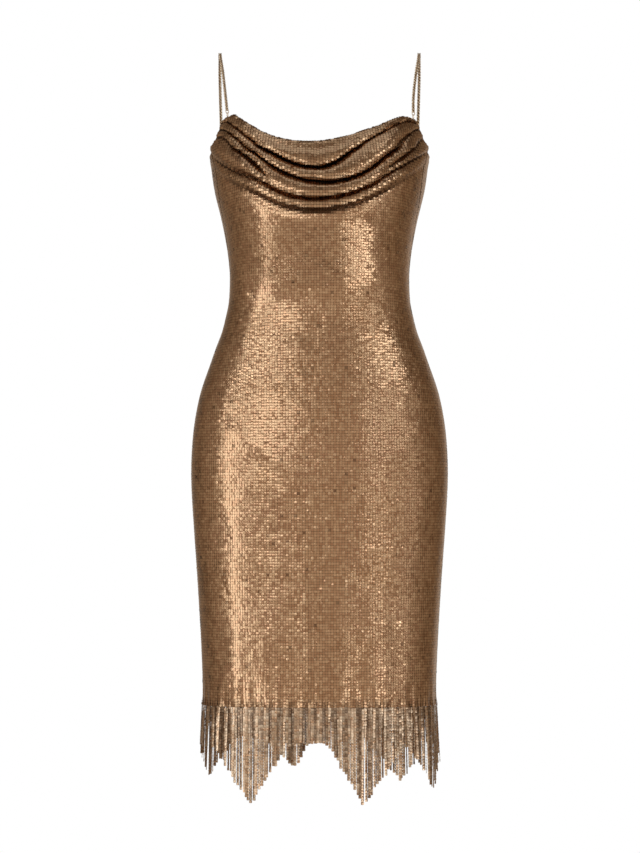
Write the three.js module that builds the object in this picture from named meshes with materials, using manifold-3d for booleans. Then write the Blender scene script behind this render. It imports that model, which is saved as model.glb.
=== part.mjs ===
import * as THREE from 'three';
import Module from 'manifold-3d';

// Sizes in mm. Drops are measured down from the top of the straps; z = 0 is their underside.
const strapThickness = 3.4;
const clothThickness = 1.0;
const seamGap = 0.3;
const sectionExponent = 2.3;
const underarmDrop = 128;
const hemDrop = 847;
const waveTopDrop = 610;
const frontColumns = 36;
const backColumns = 28;
const skirtTopDrop = 168;
const skirtRows = 19;
const backTopRows = 4;
const foldDepth = 14;
const settleSpan = 14;
const fringeStrands = 226;
const fringeBandHeight = 4;
const fringeBandThickness = 1.6;
const strandWidth = 2.2;
const strandDepth = 1.1;
const strandFlare = 2.2;
const fringeGap = 0.8;
const strapShare = { front: 0.955, back: 0.6 };
const strapRise = { front: 1.0, back: 0.6 };
const strapSides = 6;
const strapSteps = 22;

const wasm = await Module();
wasm.setup();

// The worn form: half width, depth in front and behind, and how far forward the side seam lies.
const sections = [
  { drop: 70, halfWidth: 134, front: 97, back: 91, seam: 60 },
  { drop: 81, halfWidth: 135, front: 99, back: 92, seam: 58 },
  { drop: 90, halfWidth: 137, front: 101, back: 92, seam: 49 },
  { drop: 105, halfWidth: 141, front: 106, back: 93, seam: 47 },
  { drop: 117, halfWidth: 143.5, front: 110, back: 94, seam: 43 },
  { drop: 125, halfWidth: 145, front: 113, back: 95, seam: 34 },
  { drop: 133, halfWidth: 144, front: 116, back: 95, seam: 37 },
  { drop: 140, halfWidth: 142.3, front: 118, back: 95, seam: 39.5 },
  { drop: 150, halfWidth: 140.4, front: 121, back: 95, seam: 42.5 },
  { drop: 159, halfWidth: 139.2, front: 123, back: 95, seam: 44.5 },
  { drop: 172, halfWidth: 137.4, front: 125, back: 95, seam: 45 },
  { drop: 187, halfWidth: 134.5, front: 126, back: 94.5, seam: 41.5 },
  { drop: 202, halfWidth: 130.7, front: 126, back: 94, seam: 36 },
  { drop: 218, halfWidth: 126.8, front: 124, back: 93, seam: 31 },
  { drop: 234, halfWidth: 123.5, front: 119, back: 92, seam: 26 },
  { drop: 260, halfWidth: 119, front: 109, back: 90, seam: 18 },
  { drop: 286, halfWidth: 116.4, front: 98, back: 88, seam: 10 },
  { drop: 305, halfWidth: 116.4, front: 91, back: 87, seam: 7 },
  { drop: 325, halfWidth: 117.7, front: 88, back: 88, seam: 5 },
  { drop: 344, halfWidth: 121.6, front: 88, back: 91, seam: 3 },
  { drop: 364, halfWidth: 126.8, front: 89, back: 95, seam: 2 },
  { drop: 383, halfWidth: 134, front: 91, back: 101, seam: 1 },
  { drop: 403, halfWidth: 141, front: 93, back: 107, seam: 0 },
  { drop: 441, halfWidth: 154, front: 97, back: 118, seam: 0 },
  { drop: 480, halfWidth: 162, front: 99, back: 124, seam: 0 },
  { drop: 520, halfWidth: 165.8, front: 100, back: 126, seam: 0 },
  { drop: 559, halfWidth: 166.3, front: 100, back: 125, seam: 0 },
  { drop: 617, halfWidth: 163, front: 99, back: 121, seam: 0 },
  { drop: 694, halfWidth: 157.5, front: 98, back: 115, seam: 0 },
  { drop: 774, halfWidth: 152.5, front: 98, back: 111, seam: 0 },
  { drop: 831, halfWidth: 150.5, front: 98, back: 109, seam: 0 },
  { drop: 856, halfWidth: 152, front: 99, back: 109, seam: 0 },
];

const foldNames = ['neck', 'one', 'two', 'three', 'four'];
const rollShare = [1, 1, 1, 0.62];

// The cowl: how far down its neck edge and the lower edge of each roll lie, from seam to seam.
const foldLines = [
  { across: -1, neck: 88, one: 94, two: 102, split: 111.5, three: 137.5, four: 155.5 },
  { across: -0.96, neck: 83.5, one: 92.5, two: 103, split: 112.5, three: 144, four: 160.5 },
  { across: -0.92, neck: 85.5, one: 96, two: 106, split: 114.5, three: 149.5, four: 165 },
  { across: -0.83, neck: 91, one: 104, two: 114, split: 122.5, three: 158, four: 171 },
  { across: -0.72, neck: 98.5, one: 113.5, two: 122, split: 133, three: 164, four: 178 },
  { across: -0.6, neck: 106, one: 121.5, two: 133, split: 148, three: 170, four: 186 },
  { across: -0.45, neck: 113, one: 131.5, two: 149, split: 163.5, three: 178, four: 196 },
  { across: -0.3, neck: 117.5, one: 143, two: 160.5, split: 173.5, three: 186.5, four: 203.5 },
  { across: -0.15, neck: 119.5, one: 150, two: 167.5, split: 179.5, three: 191, four: 207.5 },
  { across: 0, neck: 119, one: 151.5, two: 170, split: 180.5, three: 191.5, four: 208.5 },
  { across: 0.15, neck: 116, one: 144.5, two: 169.5, split: 179.5, three: 189.5, four: 206 },
  { across: 0.3, neck: 111.5, one: 129.5, two: 165, split: 175, three: 184.5, four: 201 },
  { across: 0.45, neck: 105.5, one: 118, two: 155.5, split: 167, three: 176.5, four: 193.5 },
  { across: 0.6, neck: 99.5, one: 109.5, two: 139.5, split: 157, three: 166.5, four: 184 },
  { across: 0.72, neck: 94, one: 102.5, two: 126, split: 146, three: 156.5, four: 175 },
  { across: 0.83, neck: 89, one: 96, two: 116, split: 131, three: 147.5, four: 166 },
  { across: 0.92, neck: 86, one: 92, two: 107.5, split: 120, three: 139.5, four: 158 },
  { across: 0.96, neck: 86.5, one: 92, two: 103, split: 116.5, three: 134.5, four: 153.5 },
  { across: 1, neck: 90, one: 96, two: 101, split: 112.5, three: 129.5, four: 148 },
];

// The top edge of the back: share 0 at the centre back, 1 at the side seam.
const backEdge = [
  { share: 0, drop: 173 },
  { share: 0.22, drop: 170.5 },
  { share: 0.42, drop: 162 },
  { share: 0.6, drop: 151.5 },
  { share: 0.75, drop: 145 },
  { share: 0.88, drop: 137.5 },
  { share: 1, drop: 131 },
];

// One roll from the crease above it to the crease below. fall: 0 at the upper line, 1 at its own.
// out: 0 in the crease, 1 on the crest. The rolled form tucks under itself, the open one does not.
const rollProfile = [
  { fall: -0.13, out: 0.0, openFall: 0.0, openOut: 0.0 },
  { fall: 0.04, out: 0.28, openFall: 0.16, openOut: 0.4 },
  { fall: 0.32, out: 0.74, openFall: 0.36, openOut: 0.84 },
  { fall: 0.62, out: 1.0, openFall: 0.55, openOut: 1.0 },
  { fall: 0.88, out: 0.95, openFall: 0.74, openOut: 0.82 },
  { fall: 1.0, out: 0.66, openFall: 0.85, openOut: 0.54 },
  { fall: 0.87, out: 0.28, openFall: 0.93, openOut: 0.24 },
];

// Half of the third roll near the side seams, where a short crease splits it in two.
const splitProfile = [
  { fall: 0.0, out: 0.0 },
  { fall: 0.2, out: 0.6 },
  { fall: 0.45, out: 1.0 },
  { fall: 0.7, out: 0.9 },
  { fall: 0.88, out: 0.4 },
];

// How far the short crease of the third roll is formed.
const splitShare = [
  { across: -1.0, share: 1 },
  { across: -0.62, share: 1 },
  { across: -0.46, share: 0 },
  { across: 0.56, share: 0 },
  { across: 0.78, share: 0.85 },
  { across: 1.0, share: 0.85 },
];

// The neck edge turns inward: rise above the neck line and depth behind the cloth's face, in mm.
const neckTurn = [
  { below: 9.0, behind: 7.5 },
  { below: 3.6, behind: 6.8 },
  { below: 0.7, behind: 4.6 },
  { below: 0.2, behind: 2.2 },
  { below: 1.6, behind: 0.3 },
];

// The fringe's lower edge. around: mm round the hem from centre front, toward the left side seam
// at negative values; length: below the hem.
const fringeEdge = [
  { around: -407, length: 52 },
  { around: -392, length: 58 },
  { around: -374, length: 88 },
  { around: -334, length: 47 },
  { around: -298, length: 47 },
  { around: -246, length: 96 },
  { around: -202, length: 49 },
  { around: -140, length: 51 },
  { around: -87, length: 124 },
  { around: -40, length: 47 },
  { around: 9, length: 45 },
  { around: 56, length: 124 },
  { around: 106, length: 51 },
  { around: 114, length: 51 },
  { around: 164, length: 107 },
  { around: 216, length: 52 },
  { around: 252, length: 48 },
  { around: 301, length: 104 },
  { around: 350, length: 48 },
  { around: 407, length: 52 },
];

function readTable(rows, key, column, at) {
  let i = 1;
  while (i < rows.length - 1 && rows[i][key] < at) {
    i += 1;
  }
  const low = rows[i - 1];
  const high = rows[i];
  const before = rows[Math.max(0, i - 2)];
  const after = rows[Math.min(rows.length - 1, i + 1)];
  const span = high[key] - low[key];
  const t = THREE.MathUtils.clamp((at - low[key]) / span, 0, 1);
  const slopeLow = (high[column] - before[column]) / (high[key] - before[key]) * span;
  const slopeHigh = (after[column] - low[column]) / (after[key] - low[key]) * span;
  const t2 = t * t;
  const t3 = t2 * t;
  return (2 * t3 - 3 * t2 + 1) * low[column] + (t3 - 2 * t2 + t) * slopeLow
    + (3 * t2 - 2 * t3) * high[column] + (t3 - t2) * slopeHigh;
}

function readStraight(rows, key, column, at) {
  let i = 1;
  while (i < rows.length - 1 && rows[i][key] < at) {
    i += 1;
  }
  const t = (at - rows[i - 1][key]) / (rows[i][key] - rows[i - 1][key]);
  return THREE.MathUtils.lerp(rows[i - 1][column], rows[i][column], THREE.MathUtils.clamp(t, 0, 1));
}

// The hem hangs in a few soft upright waves that fade out toward the hip. turn: the angle round the
// form from centre front, a half turn at centre back.
function skirtWave(turn, drop) {
  const fade = THREE.MathUtils.smoothstep(drop, waveTopDrop, hemDrop);
  const wave = 1.5 * Math.sin(12 * turn + 0.6) + 1.1 * Math.sin(8 * turn + 2.1) + 0.8 * Math.sin(18 * turn + 4);
  return fade * wave;
}

// Half of one body section, as points at known arc lengths from the centre to the side.
const arcCache = new Map();
function halfSection(drop, side) {
  const name = `${side}${drop.toFixed(3)}`;
  if (!arcCache.has(name)) {
    const width = readTable(sections, 'drop', 'halfWidth', drop);
    const depth = readTable(sections, 'drop', side, drop);
    const points = [];
    let arc = 0;
    for (let i = 0; i <= 160; i += 1) {
      const angle = i / 160 * Math.PI / 2;
      const x = width * Math.sin(angle) ** (2 / sectionExponent);
      const y = depth * Math.max(0, Math.cos(angle)) ** (2 / sectionExponent);
      if (i > 0) {
        arc += Math.hypot(x - points[i - 1].x, y - points[i - 1].y);
      }
      points.push({ arc, x, y });
    }
    arcCache.set(name, points);
  }
  return arcCache.get(name);
}

// Arc length from the centre front to the side seam.
function seamArc(drop) {
  const points = halfSection(drop, 'front');
  const seam = readTable(sections, 'drop', 'seam', drop);
  const reversed = points.map((p) => ({ depth: p.y, arc: p.arc })).reverse();
  return readStraight(reversed, 'depth', 'arc', seam);
}

function pointOnSection(drop, side, arc) {
  const points = halfSection(drop, side);
  const a = Math.abs(arc);
  const x = readStraight(points, 'arc', 'x', a);
  const y = readStraight(points, 'arc', 'y', a);
  const x1 = readStraight(points, 'arc', 'x', Math.max(0, a - 2));
  const y1 = readStraight(points, 'arc', 'y', Math.max(0, a - 2));
  const x2 = readStraight(points, 'arc', 'x', Math.min(a + 2, points[160].arc));
  const y2 = readStraight(points, 'arc', 'y', Math.min(a + 2, points[160].arc));
  const length = Math.hypot(x2 - x1, y2 - y1);
  const mirror = arc < 0 ? -1 : 1;
  const facing = side === 'front' ? -1 : 1;
  return {
    x: mirror * x,
    y: facing * y,
    outX: mirror * (y1 - y2) / length,
    outY: facing * (x2 - x1) / length,
  };
}

// A point of the garment's round form: arc from centre front on either side, moved out along its normal.
function formPoint(drop, arc, outward) {
  const frontArc = halfSection(drop, 'front')[160].arc;
  const backArc = halfSection(drop, 'back')[160].arc;
  const sign = arc < 0 ? -1 : 1;
  const past = Math.abs(arc) > frontArc;
  const local = past ? sign * (frontArc + backArc - Math.abs(arc)) : arc;
  const p = pointOnSection(drop, past ? 'back' : 'front', local);
  const out = outward + skirtWave(arc / (frontArc + backArc) * Math.PI, drop);
  const point = new THREE.Vector3(p.x + p.outX * out, p.y + p.outY * out, strapThickness - drop);
  point.out = new THREE.Vector3(p.outX, p.outY, 0);
  return point;
}

function sectionArc(drop) {
  return halfSection(drop, 'front')[160].arc + halfSection(drop, 'back')[160].arc;
}

// A closed wall from a grid of middle points, rows of equal length, half its thickness each way.
// Below the underarm its ends stand square to the form, so that two panels meet evenly at a seam.
function wall(grid, thickness) {
  const rows = grid.length;
  const columns = grid[0].length;
  const at = (i, j) => grid[Math.max(0, Math.min(rows - 1, i))][Math.max(0, Math.min(columns - 1, j))];
  const corners = [];
  for (let i = 0; i < rows; i += 1) {
    for (let j = 0; j < columns; j += 1) {
      const here = at(i, j);
      const along = at(i, j + 1).clone().sub(at(i, j - 1)).normalize();
      const before = here.clone().sub(at(Math.max(i, 1) - 1, j));
      const after = at(Math.min(i, rows - 2) + 1, j).clone().sub(here);
      const first = (i === 0 ? after : before).clone().cross(along).normalize();
      const second = (i === rows - 1 ? before : after).clone().cross(along).normalize();
      const side = (j === 0 || j === columns - 1) && here.z < strapThickness - underarmDrop;
      const normal = side ? here.out.clone() : first.clone().add(second).normalize();
      const mitre = side ? 1 : 1 / Math.sqrt(Math.max(0.12, (1 + first.dot(second)) / 2));
      const valley = first.clone().cross(second).dot(along) < 0;
      const hollow = thickness / 2 * mitre;
      const proud = thickness / 2 * Math.min(mitre, 1.2);
      corners.push([
        here.clone().addScaledVector(normal, valley ? hollow : proud),
        here.clone().addScaledVector(normal, valley ? -proud : -hollow),
      ]);
    }
  }
  const positions = corners.flatMap(([outer, inner]) => [...outer.toArray(), ...inner.toArray()]);
  const outer = (i, j) => 2 * (i * columns + j);
  const inner = (i, j) => outer(i, j) + 1;
  const faces = [];
  const quad = (a, b, c, d) => faces.push(a, b, c, a, c, d);
  for (let i = 0; i < rows - 1; i += 1) {
    for (let j = 0; j < columns - 1; j += 1) {
      quad(outer(i, j), outer(i + 1, j), outer(i + 1, j + 1), outer(i, j + 1));
      quad(inner(i, j), inner(i, j + 1), inner(i + 1, j + 1), inner(i + 1, j));
    }
    quad(outer(i, 0), inner(i, 0), inner(i + 1, 0), outer(i + 1, 0));
    const last = columns - 1;
    quad(outer(i, last), outer(i + 1, last), inner(i + 1, last), inner(i, last));
  }
  for (let j = 0; j < columns - 1; j += 1) {
    quad(outer(0, j), outer(0, j + 1), inner(0, j + 1), inner(0, j));
    const last = rows - 1;
    quad(outer(last, j), inner(last, j), inner(last, j + 1), outer(last, j + 1));
  }
  return geometryFrom(positions, faces);
}

function geometryFrom(positions, faces) {
  const geometry = new THREE.BufferGeometry();
  geometry.setAttribute('position', new THREE.Float32BufferAttribute(positions, 3));
  geometry.setIndex(faces);
  geometry.computeVertexNormals();
  return geometry;
}

// How tightly the rolls tuck under: full in the middle, none by the side seams.
function tuck(across) {
  return 1 - THREE.MathUtils.smoothstep(Math.abs(across), 0.45, 0.78);
}

function foldHeight(across, spacing) {
  const side = 1 - Math.abs(across) ** 3;
  const full = 0.9 + (foldDepth - 0.9) * Math.min(1, 1.15 * side);
  return Math.min(full, Math.max(0.9, spacing * (0.46 + 0.24 * tuck(across))));
}

// The rolls between the lines at one place across: each with its span, its height and its two creases.
function rollsAt(across) {
  const lines = foldNames.map((name) => readTable(foldLines, 'across', name, across));
  const rolls = [];
  for (let k = 1; k < lines.length; k += 1) {
    const span = lines[k] - lines[k - 1];
    const height = foldHeight(across, span) * rollShare[k - 1];
    rolls.push({ upper: lines[k - 1], lower: lines[k], span, height });
  }
  rolls.forEach((roll, k) => {
    const above = rolls[Math.max(0, k - 1)];
    const below = rolls[Math.min(rolls.length - 1, k + 1)];
    roll.creaseAbove = -0.4 * Math.min(roll.height, above.height);
    roll.creaseBelow = -0.4 * Math.min(roll.height, below.height);
    roll.riseAbove = Math.min(roll.span, above.span);
    roll.riseBelow = Math.min(roll.span, below.span);
  });
  return rolls;
}

// Rows of one roll as drops and depths. The tightest value holds back how far it tucks under.
function rollRows(roll, across, tightest) {
  const t = Math.min(tuck(across), tightest);
  return rollProfile.map((p, index) => {
    const own = index === 0 ? tuck(across) : t;
    const fall = THREE.MathUtils.lerp(p.openFall, p.fall, own);
    const share = THREE.MathUtils.lerp(p.openOut, p.out, t);
    const crease = index < 3 ? roll.creaseAbove : roll.creaseBelow;
    let drop = roll.upper + fall * roll.span;
    if (fall < 0) {
      drop = roll.upper + fall * roll.riseAbove;
    } else if (index === 6) {
      drop = roll.lower - (1 - fall) * roll.riseBelow;
    }
    return { drop, out: THREE.MathUtils.lerp(crease, 0.6 * roll.height, share) };
  });
}

// The third roll: one roll in the middle, two narrower ones by the side seams.
function splitRollRows(roll, across) {
  const single = [...rollRows(roll, across, 1), { drop: roll.lower, out: roll.creaseBelow }];
  const middle = readTable(foldLines, 'across', 'split', across);
  const formed = readStraight(splitShare, 'across', 'share', across);
  const count = 2 * splitProfile.length;
  const rows = [];
  for (let i = 0; i < count; i += 1) {
    const place = i / count * (single.length - 1);
    const low = single[Math.floor(place)];
    const high = single[Math.floor(place) + 1];
    const drop = THREE.MathUtils.lerp(low.drop, high.drop, place % 1);
    const out = THREE.MathUtils.lerp(low.out, high.out, place % 1);
    const second = i >= splitProfile.length;
    const p = splitProfile[i % splitProfile.length];
    const from = second ? middle : roll.upper;
    const to = second ? roll.lower : middle;
    const height = Math.min(roll.height, 0.9 + 0.6 * (to - from));
    rows.push({
      drop: THREE.MathUtils.lerp(drop, from + p.fall * (to - from), formed),
      out: THREE.MathUtils.lerp(out, (p.out - 0.4) * height, formed),
    });
  }
  return rows;
}

// Both panels have rows that meet at these drops along the side seams.
function seamLevels() {
  const levels = [];
  for (let i = 0; i < skirtRows; i += 1) {
    const share = i / (skirtRows - 1);
    levels.push(THREE.MathUtils.lerp(skirtTopDrop, hemDrop, share * 0.88 + 0.12 * share * share));
  }
  return levels;
}

// Places a row's drop between its panel's top edge and the hem, so that it keeps its level at the seam.
function levelDrop(level, edge, edgeAtSeam) {
  return edge + (level - edgeAtSeam) * (hemDrop - edge) / (hemDrop - edgeAtSeam);
}

function frontPanel() {
  const columnShares = [];
  for (let j = 0; j <= frontColumns; j += 1) {
    columnShares.push(2 * j / frontColumns - 1);
  }
  const referenceDrop = 153;
  const referenceX = pointOnSection(referenceDrop, 'front', seamArc(referenceDrop)).x;
  const rowsAt = columnShares.map((share) => {
    const arcAt = (drop) => share * (seamArc(drop) - seamGap / 2);
    const across = pointOnSection(referenceDrop, 'front', arcAt(referenceDrop)).x / referenceX;
    const line = (name) => readTable(foldLines, 'across', name, across);
    const point = (drop, outward) => formPoint(drop, arcAt(drop), outward);
    const column = [];
    const rolls = rollsAt(across);
    const turn = 0.42 + 0.58 * Math.min(1, rolls[0].height / 8);
    neckTurn.forEach(({ below, behind }) => {
      column.push(point(line('neck') + below * turn, 0.25 * rolls[0].height - behind * turn));
    });
    const rows = [
      ...rollRows(rolls[0], across, 1).slice(2),
      ...rollRows(rolls[1], across, 1),
      ...splitRollRows(rolls[2], across),
      ...rollRows(rolls[3], across, 0.35).slice(0, 6),
    ];
    rows.forEach(({ drop, out }) => column.push(point(drop, out)));
    const seamShare = (across + 1) / 2;
    const fourAtSeam = THREE.MathUtils.lerp(foldLines[0].four, foldLines[foldLines.length - 1].four, seamShare);
    const settle = foldHeight(across, settleSpan);
    column.push(point(line('four') + 2.5, -0.26 * settle));
    column.push(point(line('four') + 8, -0.2 * settle));
    seamLevels().forEach((level, i) => {
      const drop = levelDrop(level, line('four'), fourAtSeam);
      column.push(point(drop, i === 0 ? -0.08 * settle : 0));
    });
    return column;
  });
  const grid = rowsAt[0].map((_, i) => rowsAt.map((column) => column[i]));
  return wall(grid, clothThickness);
}

function backPoint(share, level, outward) {
  const top = readTable(backEdge, 'share', 'drop', 1);
  const edge = readTable(backEdge, 'share', 'drop', Math.abs(share));
  const drop = levelDrop(level, edge, top);
  const half = sectionArc(drop) - seamArc(drop) - seamGap / 2;
  const side = share <= 0 ? 1 : -1;
  return formPoint(drop, side * (sectionArc(drop) - half * Math.abs(share)), outward);
}

function backPanel() {
  const top = readTable(backEdge, 'share', 'drop', 1);
  const levels = seamLevels();
  for (let i = backTopRows - 1; i >= 0; i -= 1) {
    levels.unshift(THREE.MathUtils.lerp(top, skirtTopDrop, i / backTopRows));
  }
  const grid = levels.map((level) => {
    const row = [];
    for (let j = 0; j <= backColumns; j += 1) {
      row.push(backPoint(2 * j / backColumns - 1, level, 0));
    }
    return row;
  });
  return wall(grid, clothThickness);
}

// A strap as a tube along a smooth line over the shoulder, from the neck corner to the back edge.
function strap(side) {
  const neck = readTable(foldLines, 'across', 'neck', side * strapShare.front);
  const corner = formPoint(neck, side * strapShare.front * seamArc(neck), -2);
  const behind = backPoint(-side * strapShare.back, readTable(backEdge, 'share', 'drop', 1), 0);
  const points = [
    new THREE.Vector3(corner.x, corner.y, corner.z + strapRise.front),
    new THREE.Vector3(side * 121.4, -47, -56),
    new THREE.Vector3(side * 125.4, -26, -22),
    new THREE.Vector3(side * 127.0, -12, -4.6),
    new THREE.Vector3(side * 127.2, 0, strapThickness / 2),
    new THREE.Vector3(side * 127.6, 12, -4.6),
    new THREE.Vector3(side * 128.4, 27, -26),
    new THREE.Vector3(side * 128.2, 43, -82),
    new THREE.Vector3(behind.x, behind.y, behind.z + strapRise.back),
  ];
  const curve = new THREE.CatmullRomCurve3(points, false, 'centripetal');
  const positions = [];
  for (let i = 0; i <= strapSteps; i += 1) {
    const centre = curve.getPoint(i / strapSteps);
    const tangent = curve.getTangent(i / strapSteps);
    const across = new THREE.Vector3(1, 0, 0).addScaledVector(tangent, -tangent.x).normalize();
    const up = across.clone().cross(tangent);
    for (let j = 0; j < strapSides; j += 1) {
      const angle = (j + 0.5) / strapSides * 2 * Math.PI;
      const p = centre.clone().addScaledVector(across, strapThickness / 2 * Math.cos(angle));
      p.addScaledVector(up, strapThickness / 2 * Math.sin(angle));
      positions.push(...p.toArray());
    }
  }
  const faces = [];
  for (let i = 0; i < strapSteps; i += 1) {
    for (let j = 0; j < strapSides; j += 1) {
      const a = i * strapSides + j;
      const b = i * strapSides + (j + 1) % strapSides;
      faces.push(a, a + strapSides, b + strapSides, a, b + strapSides, b);
    }
  }
  for (let j = 1; j < strapSides - 1; j += 1) {
    const end = strapSteps * strapSides;
    faces.push(0, j, j + 1, end, end + j + 1, end + j);
  }
  return geometryFrom(positions, faces);
}

function toManifold(geometry) {
  const mesh = new wasm.Mesh({
    numProp: 3,
    vertProperties: Float32Array.from(geometry.attributes.position.array),
    triVerts: Uint32Array.from(geometry.index.array),
  });
  return new wasm.Manifold(mesh);
}

function fromManifold(solid) {
  const mesh = solid.getMesh();
  return geometryFrom(Array.from(mesh.vertProperties), Array.from(mesh.triVerts));
}

// Strands gather into small clumps: each leans in or out with its place round the hem.
function strandLean(around) {
  return 1.3 * Math.sin(around * 0.52 + 1.1 * Math.sin(around * 0.11)) + 0.9 * Math.sin(around * 0.31 + 2);
}

// One strand: three flat sides from its root in the band to its tip.
function strand(root, along, around, length) {
  const out = new THREE.Vector3(along.y, -along.x, 0);
  const reach = Math.min(1, length / 50);
  const tip = root.clone().addScaledVector(out, (strandFlare + strandLean(around)) * reach);
  tip.z -= length;
  const ring = (centre) => [
    centre.clone().addScaledVector(along, -strandWidth / 2).addScaledVector(out, strandDepth * 0.35),
    centre.clone().addScaledVector(along, strandWidth / 2).addScaledVector(out, strandDepth * 0.35),
    centre.clone().addScaledVector(out, -strandDepth * 0.65),
  ];
  const positions = [...ring(root), ...ring(tip)].flatMap((p) => p.toArray());
  const faces = [0, 1, 2, 3, 5, 4];
  for (let j = 0; j < 3; j += 1) {
    const k = (j + 1) % 3;
    faces.push(j, j + 3, k + 3, j, k + 3, k);
  }
  return geometryFrom(positions, faces);
}

function fringe(fromArc, toArc) {
  const top = hemDrop + seamGap;
  const bays = fringeStrands / 4 - 0.5;
  const bandRows = [top, top + fringeBandHeight].map((drop) => {
    const row = [];
    for (let j = 0; j <= bays; j += 1) {
      row.push(formPoint(drop, THREE.MathUtils.lerp(fromArc, toArc, j / bays), 0));
    }
    return row;
  });
  const pieces = [toManifold(wall(bandRows, fringeBandThickness))];
  const halfRound = sectionArc(hemDrop);
  const tableHalf = fringeEdge[fringeEdge.length - 1].around;
  for (let i = 0; i < 2 * bays; i += 1) {
    const bay = Math.floor(i / 2);
    const share = i % 2 === 0 ? 0.25 : 0.75;
    const start = bandRows[1][bay];
    const end = bandRows[1][bay + 1];
    const root = start.clone().lerp(end, share);
    root.z += fringeBandHeight / 2;
    const around = THREE.MathUtils.lerp(fromArc, toArc, (bay + share) / bays);
    const listed = (around > halfRound ? around - 2 * halfRound : around) * tableHalf / halfRound;
    const length = readStraight(fringeEdge, 'around', 'length', listed);
    const uneven = 1.2 * Math.sin(i * 2.4) + 0.8 * Math.sin(i * 5.1);
    const along = end.clone().sub(start).setZ(0).normalize();
    pieces.push(toManifold(strand(root, along, around, length + uneven - fringeBandHeight / 2)));
  }
  return fromManifold(wasm.Manifold.union(pieces));
}

function named(name, geometry, colour) {
  const material = new THREE.MeshStandardMaterial({ color: colour, metalness: 0.9, roughness: 0.4 });
  const mesh = new THREE.Mesh(geometry, material);
  mesh.name = name;
  return mesh;
}

const dress = new THREE.Group();
dress.name = 'chainmail_dress';
dress.add(named('front_panel', frontPanel(), 0x9a7350));
dress.add(named('back_panel', backPanel(), 0x8f6a49));
dress.add(named('strap_left', strap(-1), 0xc89b62));
dress.add(named('strap_right', strap(1), 0xc89b62));

const hemSeam = seamArc(hemDrop);
const hemRound = 2 * sectionArc(hemDrop);
dress.add(named('fringe_front', fringe(-hemSeam + fringeGap, hemSeam - fringeGap), 0xa67c55));
dress.add(named('fringe_back', fringe(hemSeam + fringeGap, hemRound - hemSeam - fringeGap), 0x9a7350));

export default dress;
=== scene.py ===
import bpy
import math
import numpy as np
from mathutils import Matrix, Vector

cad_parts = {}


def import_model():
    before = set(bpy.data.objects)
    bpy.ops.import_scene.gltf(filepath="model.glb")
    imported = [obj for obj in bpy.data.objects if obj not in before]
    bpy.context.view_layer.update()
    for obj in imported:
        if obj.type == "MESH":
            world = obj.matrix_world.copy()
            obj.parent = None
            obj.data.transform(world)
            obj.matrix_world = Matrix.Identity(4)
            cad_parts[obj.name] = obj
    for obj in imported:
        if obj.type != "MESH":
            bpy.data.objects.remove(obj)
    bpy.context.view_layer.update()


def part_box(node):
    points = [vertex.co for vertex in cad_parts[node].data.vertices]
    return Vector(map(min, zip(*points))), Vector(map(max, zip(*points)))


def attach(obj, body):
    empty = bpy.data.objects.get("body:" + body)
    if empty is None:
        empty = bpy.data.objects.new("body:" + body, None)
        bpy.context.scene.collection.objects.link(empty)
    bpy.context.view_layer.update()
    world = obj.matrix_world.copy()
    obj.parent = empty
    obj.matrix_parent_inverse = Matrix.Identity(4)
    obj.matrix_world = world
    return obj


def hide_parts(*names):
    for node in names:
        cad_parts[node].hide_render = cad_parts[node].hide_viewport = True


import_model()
random = np.random.default_rng(26)  # seeded, so that every run gives the same dress
mm = 0.001


def linear(hexColour):
    channels = [int(hexColour[i:i + 2], 16) / 255 for i in (1, 3, 5)]
    return [c / 12.92 if c <= 0.04045 else ((c + 0.055) / 1.055) ** 2.4 for c in channels] + [1]


# A colour mix takes its factor at socket 0 and its two colours at 6 and 7, and gives the result at 2.
def addNode(tree, kind, settings=None, links=None):
    node = tree.nodes.new(kind)
    for name, value in (settings or {}).items():
        if isinstance(name, str) and hasattr(node, name):
            setattr(node, name, value)
        else:
            node.inputs[name].default_value = value
    for name, source in (links or {}).items():
        tree.links.new(source, node.inputs[name])
    return node


def addObject(name, data):
    piece = bpy.data.objects.new(name, data)
    bpy.context.scene.collection.objects.link(piece)
    return piece


def smoothStep(value, low, high):
    t = np.clip((np.asarray(value, float) - low) / (high - low), 0, 1)
    return t * t * (3 - 2 * t)


def mix(a, b, t):
    return a + (b - a) * t


def hermite(t, start, slopeOut, end, slopeIn):
    return ((2 * t**3 - 3 * t**2 + 1) * start + (t**3 - 2 * t**2 + t) * slopeOut
            + (3 * t**2 - 2 * t**3) * end + (t**3 - t**2) * slopeIn)


def named(columns, rows):  # a short table, kept as one array for each named column
    return {name: np.array([row[i] for row in rows], float) for i, name in enumerate(columns.split())}


def eachRow(table):
    for values in zip(*table.values()):
        yield {name: float(value) for name, value in zip(table, values)}


def readSmooth(table, key, column, at):  # a smooth curve through a column's rows
    xs, ys = table[key], table[column]
    at = np.asarray(at, float)
    i = np.clip(np.searchsorted(xs, at), 1, len(xs) - 1)
    before, after = np.maximum(i - 2, 0), np.minimum(i + 1, len(xs) - 1)
    span = xs[i] - xs[i - 1]
    t = np.clip((at - xs[i - 1]) / span, 0, 1)
    slopeLow = (ys[i] - ys[before]) / (xs[i] - xs[before]) * span
    slopeHigh = (ys[after] - ys[i - 1]) / (xs[after] - xs[i - 1]) * span
    return hermite(t, ys[i - 1], slopeLow, ys[i], slopeHigh)


def unit(vectors):
    return vectors / np.maximum(np.linalg.norm(vectors, axis=-1, keepdims=True), 1e-9)


def distances(line):  # how far along a line each of its points lies
    return np.concatenate([[0], np.cumsum(np.linalg.norm(np.diff(line, axis=0), axis=1))])


def pointsAlong(line, run, stations):
    return np.stack([np.interp(stations, run, line[:, c]) for c in range(3)], -1)


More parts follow.
